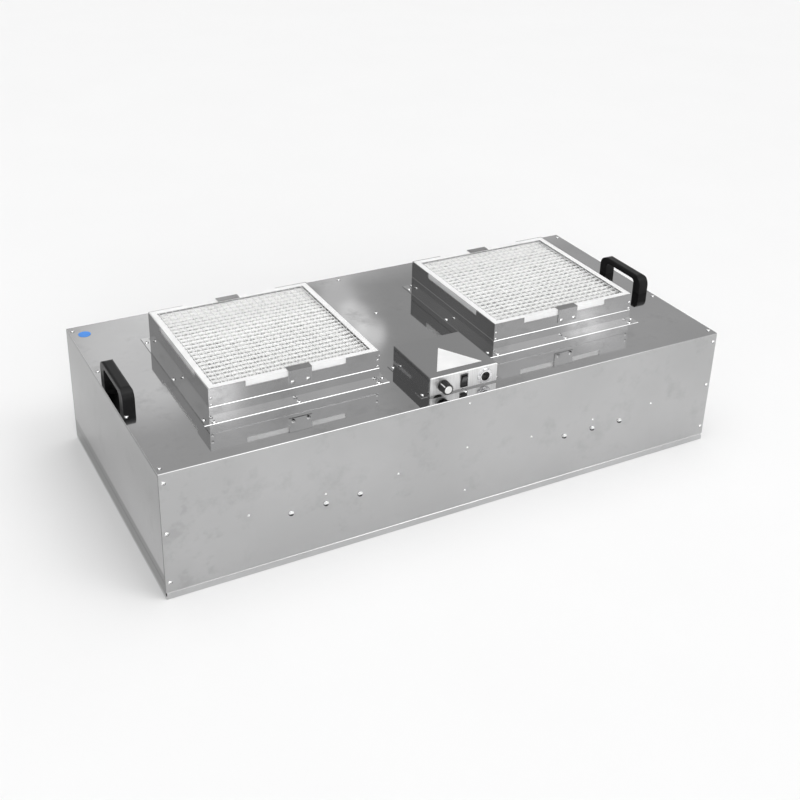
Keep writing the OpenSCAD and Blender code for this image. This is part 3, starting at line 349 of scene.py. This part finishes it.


# The screws and the bridge bolts carry painted shade: they turn near black where their masks are 0.
screw_steel = bright_metal("bright_screw_steel", (0.84, 0.84, 0.84), 0.12, (0.02, 0.02, 0.02),
                           facing_up)
bolt_steel = bright_metal("round_bolt_steel", (0.98, 0.98, 0.98), 0.12, (0.01, 0.01, 0.01),
                          upper_half)
chrome = bright_metal("inlet_chrome", (0.82, 0.82, 0.83), 0.06)
spun_aluminium = bright_metal("spun_aluminium", (0.86, 0.86, 0.85), 0.28)
ground_steel = bright_metal("ground_steel", (0.66, 0.66, 0.67), 0.25)
motor_casting = bright_metal("motor_casting", (0.30, 0.31, 0.33), 0.5)
dress(screw_steel, "handle_bolts", "casing_screws", "collar_screws", "clip_screws", "box_screws")
dress(screw_steel, "motor_screws", "rivets")
dress(bolt_steel, "bridge_bolts")
dress(chrome, "power_inlet")
dress(spun_aluminium, "knob_cap", "capacitors", "fine_filter_frame")
dress(ground_steel, "motor_bearings_*", "knob_shaft", "speed_pot")
dress(motor_casting, "motor_stator_*")

# %% [markdown]
# ## Plastics, paint and rubber
#
# A moulded plastic is never one flat colour. Its skin has a fine spark-eroded grain, which is a
# small bump, and it is a little glossier where hands rub it, which is a slow noise on roughness.

# %% Mix the plastics
def moulded(name, colour, rough, grain=0.00006, scale=1500.0):
    plastic = Finish(name)
    rubbed = plastic.noise(30.0, 3.0)
    skin = plastic.noise(scale, 2.0)
    plastic.set(
        Base_Color=plastic.blend(rubbed, shade(colour, 0.8), colour),
        Roughness=rough - 0.08 + 0.16 * rubbed,
        Normal=plastic.bump(skin, grain, 0.6),
    )
    return plastic


handle_black = moulded("handle_black", (0.005, 0.005, 0.0052), 0.36)
handle_black.set(Specular_IOR_Level=0.2)
knob_black = moulded("knob_black", (0.012, 0.012, 0.0125), 0.34)
switch_black = moulded("switch_black", (0.010, 0.010, 0.011), 0.22, 0.00001)
socket_black = moulded("socket_black", (0.008, 0.008, 0.008), 0.5)
rubber_black = moulded("rubber_black", (0.025, 0.025, 0.025), 0.6)
fan_black = moulded("fan_black", (0.05, 0.05, 0.055), 0.4)
terminal_cream = moulded("terminal_cream", (0.72, 0.70, 0.60), 0.45)
board_green = moulded("board_green", (0.02, 0.16, 0.06), 0.3)
white_paint = moulded("white_paint", (0.90, 0.90, 0.90), 0.4)
disc_blue = moulded("disc_blue", (0.05, 0.27, 0.80), 0.3)
dress(handle_black, "handle_left", "handle_right")
dress(knob_black, "speed_knob")
dress(switch_black, "switch_body", "rocker")
dress(socket_black, "inlet_socket")
dress(rubber_black, "fine_filter_gasket", "cable_grommets", "fan_cables")
dress(fan_black, "motor_rotor_*", "impeller_*")
dress(terminal_cream, "terminal_block")
dress(board_green, "speed_board")

# %% [markdown]
# ## Filter media
#
# The prefilter's fleece is a felt of fine white fibres, so its bump is a rough noise. Light hardly
# reaches its valleys, so the felt carries painted shade that deepens with depth, and painted shade
# in each mesh cell leaves it brighter under the wires. The fine filter's paper is smoother. The
# wire and the frames are white.

# %% Mix the media
# The wire guard's gaps along each side, and how far the ridges stay below the model's own.
GUARD_GAPS, FLEECE_ROOM = 24, 0.003
guard_low, guard_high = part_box("prefilter_guard_right")
ridge_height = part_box("prefilter_fleece_right")[1].z - FLEECE_ROOM
fleece_white = Finish("white_fleece", Roughness=0.9)
across, _, up = fleece_white.split(fleece_white.place())
fibres = fleece_white.noise(300.0, 5.0, 0.75)
tufts = fleece_white.noise(90.0, 3.0, 0.7)
depth = up.between(ridge_height - 0.0085, ridge_height - 0.0015)
gap = (abs(across) - guard_low.x) * (GUARD_GAPS / (guard_high.x - guard_low.x))
near_wire = abs(gap.fraction() - 0.5).between(0.28, 0.46)
# The lit factor paints shade: darker deep in the pleats and in the middle of each mesh cell,
# brighter near the wires.
lit = 1.15 * depth + 0.70 * near_wire + 0.6 * fibres + 0.9 * tufts - 0.85
fleece_white.set(
    Base_Color=fleece_white.blend(lit.clamped(), (0.06, 0.06, 0.06), (0.96, 0.96, 0.95)),
    Normal=fleece_white.bump(fibres, 0.0012, 0.8),
)
paper_white = moulded("filter_paper", (0.84, 0.84, 0.82), 0.85, 0.0002, 500.0)
wire_white = moulded("coated_wire", (0.92, 0.92, 0.92), 0.35)
frame_white = moulded("filter_frame_white", (0.92, 0.92, 0.92), 0.35)
dress(fleece_white, "prefilter_fleece_*")
dress(paper_white, "fine_filter_pack")
dress(wire_white, "prefilter_guard_*", "fine_filter_guard")
dress(frame_white, "prefilter_frame_*")

# %% [markdown]
# ## Helpers for new pieces
#
# A new piece starts as an empty bmesh, takes shapes from bmesh operators, and becomes an object
# that sits at the origin, with its place in its mesh, and rides on a body of the model.

# %% Piece helpers
def add_box(bm, low, high):
    """Adds a box between two corners."""
    low, high = Vector(low), Vector(high)
    made = bmesh.ops.create_cube(bm, size=1.0)["verts"]
    bmesh.ops.scale(bm, vec=high - low, verts=made)
    bmesh.ops.translate(bm, vec=(low + high) / 2, verts=made)
    return made


def add_rod(bm, start, end, radius, sides=6):
    """Adds a closed rod between two points."""
    start, end = Vector(start), Vector(end)
    turn = (end - start).to_track_quat("Z", "Y").to_matrix().to_4x4()
    made = bmesh.ops.create_cone(bm, cap_ends=True, segments=sides, radius1=radius, radius2=radius,
                                 depth=(end - start).length)["verts"]
    bmesh.ops.transform(bm, matrix=Matrix.Translation((start + end) / 2) @ turn, verts=made)
    return made


def finish_piece(bm, name, finish, body="unit", smooth=False):
    """Turns a bmesh into an object that rides on a body."""
    bmesh.ops.recalc_face_normals(bm, faces=bm.faces)
    mesh = bpy.data.meshes.new(name)
    bm.to_mesh(mesh)
    bm.free()
    mesh.materials.append(finish.material)
    for face in mesh.polygons:
        face.use_smooth = smooth
    piece = bpy.data.objects.new(name, mesh)
    scene.collection.objects.link(piece)
    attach(piece, body)
    print(name, len(mesh.polygons), "faces")
    return piece


# %% [markdown]
# ## The prefilters' wire mesh
#
# Each prefilter is covered by a welded mesh of white wire, half an inch from wire to wire. The
# model's own guard has the right outline but wide bars. Straight rods, one layer over the other,
# look like the real mesh and cost few faces, because every rod is a six-sided prism.

# %% Weld the wire mesh
# A wire's radius, how far its ends stay inside the outline, and the lower layer's depth in radii.
WIRE, WIRE_PLAY, LOWER_LAYER = 0.0007, 0.001, 2.6
for hand in ("left", "right"):
    low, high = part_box("prefilter_guard_" + hand)
    upper, lower = high.z - WIRE, high.z - LOWER_LAYER * WIRE
    bm = bmesh.new()
    for i in range(1, GUARD_GAPS):
        x = low.x + (high.x - low.x) * i / GUARD_GAPS
        add_rod(bm, (x, low.y + WIRE_PLAY, upper), (x, high.y - WIRE_PLAY, upper), WIRE)
        y = low.y + (high.y - low.y) * i / GUARD_GAPS
        add_rod(bm, (low.x + WIRE_PLAY, y, lower), (high.x - WIRE_PLAY, y, lower), WIRE)
    mesh_piece = finish_piece(bm, "wire_mesh_" + hand, wire_white)
    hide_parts("prefilter_guard_" + hand)

# %% [markdown]
# ## The pleated fleece
#
# The fleece is folded into soft pleats. A fine grid takes its height from a wave along the unit's
# depth, and a slow noise lets each ridge wander a little, as folded felt does. The solidify
# modifier gives it its thickness.

# %% Fold the fleece
PLEATS, FELT = 22.5, 0.0018
# The room under the fleece and round it, and how far a ridge wanders sideways and down.
FOOT, SIDE_PLAY, END_PLAY = 0.001, 0.002, 0.006
SIDE_WANDER, TIP_WANDER = 0.0014, 0.002
for hand in ("left", "right"):
    low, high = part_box("prefilter_fleece_" + hand)
    middle = (low + high) / 2
    tall = ridge_height - low.z - FOOT
    bm = bmesh.new()
    bmesh.ops.create_grid(bm, x_segments=48, y_segments=180, size=0.5)
    for vertex in bm.verts:
        turns = (vertex.co.y + 0.5) * PLEATS
        ridge = 0.5 + 0.5 * math.cos(math.tau * turns)
        vertex.co.x = middle.x + vertex.co.x * (high.x - low.x - SIDE_PLAY)
        vertex.co.y = middle.y + vertex.co.y * (high.y - low.y - END_PLAY)
        vertex.co.z = low.z + FOOT + tall * ridge
        vertex.co.y += noise.noise(vertex.co * 40) * SIDE_WANDER
        vertex.co.z -= abs(noise.noise(vertex.co * 90)) * TIP_WANDER * ridge
    fleece = finish_piece(bm, "pleated_fleece_" + hand, fleece_white, smooth=True)
    felt = fleece.modifiers.new("thickness", "SOLIDIFY")
    felt.thickness = FELT
    felt.offset = 0
    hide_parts("prefilter_fleece_" + hand)

# %% [markdown]
# ## Crosses in the screws
#
# Each screw has a cross recess in its head. At this size a black cross that lies flush in the head
# stands in for the shade in the recess: it is painted shade. The heads are found in the model
# itself:
# every loose part of a screw node is one screw, its axis is the direction in which its size is
# unlike the other two, and its head is its wide end.

# %% Mark the screw heads
def screw_heads(name):
    """Gives the middle of each head's face and the way that the screw points."""
    bm = bmesh.new()
    bm.from_mesh(nodes[name].data)
    waiting = set(bm.verts)
    while waiting:
        part, edge = set(), [waiting.pop()]
        while edge:
            vertex = edge.pop()
            part.add(vertex)
            around = [other for link in vertex.link_edges for other in link.verts]
            edge += [other for other in around if other in waiting]
            waiting.difference_update(edge)
        low = Vector([min(v.co[axis] for v in part) for axis in range(3)])
        high = Vector([max(v.co[axis] for v in part) for axis in range(3)])
        size = high - low
        axis = max(range(3), key=lambda k: abs(size[k] - sorted(size)[1]))
        middle = (low + high) / 2
        reach = [(v.co - middle).length - abs(v.co[axis] - middle[axis]) for v in part]
        wide = [v.co[axis] for v, r in zip(part, reach) if r > 0.9 * max(reach)]
        point = 1 if sum(wide) / len(wide) > middle[axis] else -1
        way = Vector([point if k == axis else 0 for k in range(3)])
        middle[axis] = high[axis] if point > 0 else low[axis]
        yield middle, way
    bm.free()


# Half of a cross bar's length and width, and how far it is sunk into the head and stands out.
ARM, HALF_BAR, SUNK, PROUD = 0.0013, 0.0003, 0.0006, 0.00004
for group in ("casing_screws", "collar_screws", "clip_screws", "box_screws", "motor_screws"):
    bm = bmesh.new()
    for middle, way in screw_heads(group):
        turn = way.to_track_quat("Z", "Y").to_matrix().to_4x4()
        bars = add_box(bm, (-ARM, -HALF_BAR, -SUNK), (ARM, HALF_BAR, PROUD))
        bars += add_box(bm, (-HALF_BAR, -ARM, -SUNK), (HALF_BAR, ARM, PROUD))
        bmesh.ops.transform(bm, matrix=Matrix.Translation(middle) @ turn, verts=bars)
    # The crosses take the black socket finish as painted shade for their recesses.
    finish_piece(bm, "crosses_" + group, socket_black)

# %% [markdown]
# ## A plain plate and a plain disc
#
# A blank white triangle lies on the control box, and a small blue disc in a corner of the top.
# Both are thin stickers: a circle of three or of many corners, pulled up by 0.4 mm.

# %% Cut the stickers
STICKER_THICK = 0.0004


def sticker(name, sides, radius, stretch, place, finish):
    """Lays a thin plate on a surface: a circle of SIDES corners, stretched along X and Y."""
    bm = bmesh.new()
    made = bmesh.ops.create_circle(bm, cap_ends=True, segments=sides, radius=radius)["verts"]
    bmesh.ops.scale(bm, vec=(*stretch, 1), verts=made)
    bmesh.ops.translate(bm, vec=place, verts=made)
    lifted = bmesh.ops.extrude_face_region(bm, geom=bm.faces[:])["geom"]
    top_corners = [part for part in lifted if isinstance(part, bmesh.types.BMVert)]
    bmesh.ops.translate(bm, vec=(0, 0, STICKER_THICK), verts=top_corners)
    finish_piece(bm, name, finish)


cover_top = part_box("control_cover")[1].z
skin_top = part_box("casing_skin")[1].z
sticker("blank_triangle", 3, 0.0545, (1.012, 0.968), (0.0006, -0.2164, cover_top), white_paint)
sticker("blue_disc", 48, 0.012, (1.0, 1.0), (-0.5614, 0.2475, skin_top), disc_blue)

# %% [markdown]
# ## Paint on the knob
#
# The knob has a white line in its pointer groove. It is painted into the groove, so it rides on the
# knob and turns with it.

# %% Paint the pointer
KNOB_AXIS, POINTER_ANGLE = (-0.044, 0, 0.2715), -45
POINTER_LOW, POINTER_HIGH = (-0.00095, -0.2803, 0.0094), (0.00095, -0.2656, 0.0106)
bm = bmesh.new()
add_box(bm, POINTER_LOW, POINTER_HIGH)
tilt = Matrix.Rotation(math.radians(POINTER_ANGLE), 3, "Y")
bmesh.ops.rotate(bm, cent=(0, 0, 0), matrix=tilt, verts=bm.verts)
bmesh.ops.translate(bm, vec=KNOB_AXIS, verts=bm.verts)
finish_piece(bm, "pointer_line", white_paint, "knob")

# %% [markdown]
# ## The room
#
# Polished metal shows its surroundings, so the surroundings are part of the look. The world's level
# is a sum: a pale grey that is brighter in front and to the right than behind, a bright ceiling,
# and a few soft windows. Each window is a smooth step on how well a direction agrees with its own.

# %% Build the room
world = bpy.data.worlds.new("room")
scene.world = world
world.use_nodes = True
room = Graph(world.node_tree)
looking = room.node("ShaderNodeTexCoord", {}, {}, "Generated")


def window(direction, spread, level):
    """A soft bright patch, SPREAD degrees from its middle to its rim."""
    aim = Vector(direction).normalized()
    inputs = {0: looking, 1: aim}
    agree = room.node("ShaderNodeVectorMath", {"operation": "DOT_PRODUCT"}, inputs, "Value")
    rim, heart = (math.cos(math.radians(angle)) for angle in (spread, spread * 0.35))
    return level * agree.between(rim, heart)


right, behind, high_up = room.split(looking)
brightness = 0.27 + 0.30 * right.between(-0.45, -0.22)
# A pale low wall stands behind on the right, and fades further to the right.
wall = (0.51 * behind - high_up).between(-0.008, 0.012) * right.between(0.20, 0.29)
brightness += 0.45 * wall * (1.0 - 0.45 * right.between(0.36, 0.46))
# A bay behind it is darker.
bay = right.between(0.40, 0.43) * (1.0 - right.between(0.46, 0.56))
brightness -= 0.09 * bay * behind.between(0.6, 0.7)
# The room's front is brighter, and most of all on the right.
brightness += (0.44 + 0.10 * right.between(0.42, 0.54)) * (0 - behind).between(0.1, 0.6)
# The ceiling comes first, then the windows. Each has a direction, a spread and a level.
for direction, spread, level in (
    ((0, 0, 1), 45, 1.05),
    ((0.238, 0.856, 0.456), 4.5, 0.45),
    ((0.390, 0.814, 0.432), 1.2, 0.30),
    ((0.400, 0.802, 0.445), 0.95, 0.50),
    ((0.409, 0.789, 0.458), 0.95, 0.62),
    ((0.282, -0.822, 0.495), 1.6, 1.60),
    ((0.561, -0.702, 0.440), 1.0, 1.30),
    ((0.43, -0.45, 0.78), 14, 3.20),
    ((-0.25, -0.93, 0.27), 22, 3.20),
):
    brightness += window(direction, spread, level)
room.feed(world.node_tree.nodes["Background"].inputs["Color"], brightness)

# %% [markdown]
# ## Lamp and floor
#
# The world gives most of the light. A wide, weak lamp overhead adds a little shape, and the pale
# floor carries a faint shadow that shows where the unit stands.

# %% Hang the lamp and lay the floor
def lamp(name, place, target, width, depth, power):
    """Hangs a flat lamp that looks at a point."""
    light = bpy.data.lights.new(name, "AREA")
    light.shape = "RECTANGLE"
    light.size, light.size_y = width, depth
    light.energy = power
    made = bpy.data.objects.new(name, light)
    scene.collection.objects.link(made)
    aim = (Vector(target) - Vector(place)).to_track_quat("-Z", "Y").to_matrix().to_4x4()
    made.matrix_world = Matrix.Translation(place) @ aim


lamp("overhead_lamp", (-0.4, -0.6, 2.6), (0, 0, 0.2), 2.4, 1.6, 5)

FLOOR_REACH, FLOOR_GAP = 12, 0.0005
floor_finish = Finish("pale_floor", Roughness=0.95, Specular_IOR_Level=0.1)
scuffs = floor_finish.noise(3.0, 3.0)
floor_finish.set(Base_Color=floor_finish.blend(scuffs, (0.85, 0.85, 0.85), (0.87, 0.87, 0.87)))
bm = bmesh.new()
bmesh.ops.create_grid(bm, x_segments=1, y_segments=1, size=FLOOR_REACH)
floor_mesh = bpy.data.meshes.new("floor")
bm.to_mesh(floor_mesh)
bm.free()
floor_mesh.materials.append(floor_finish.material)
floor = bpy.data.objects.new("floor", floor_mesh)
floor.location.z = -FLOOR_GAP
scene.collection.objects.link(floor)
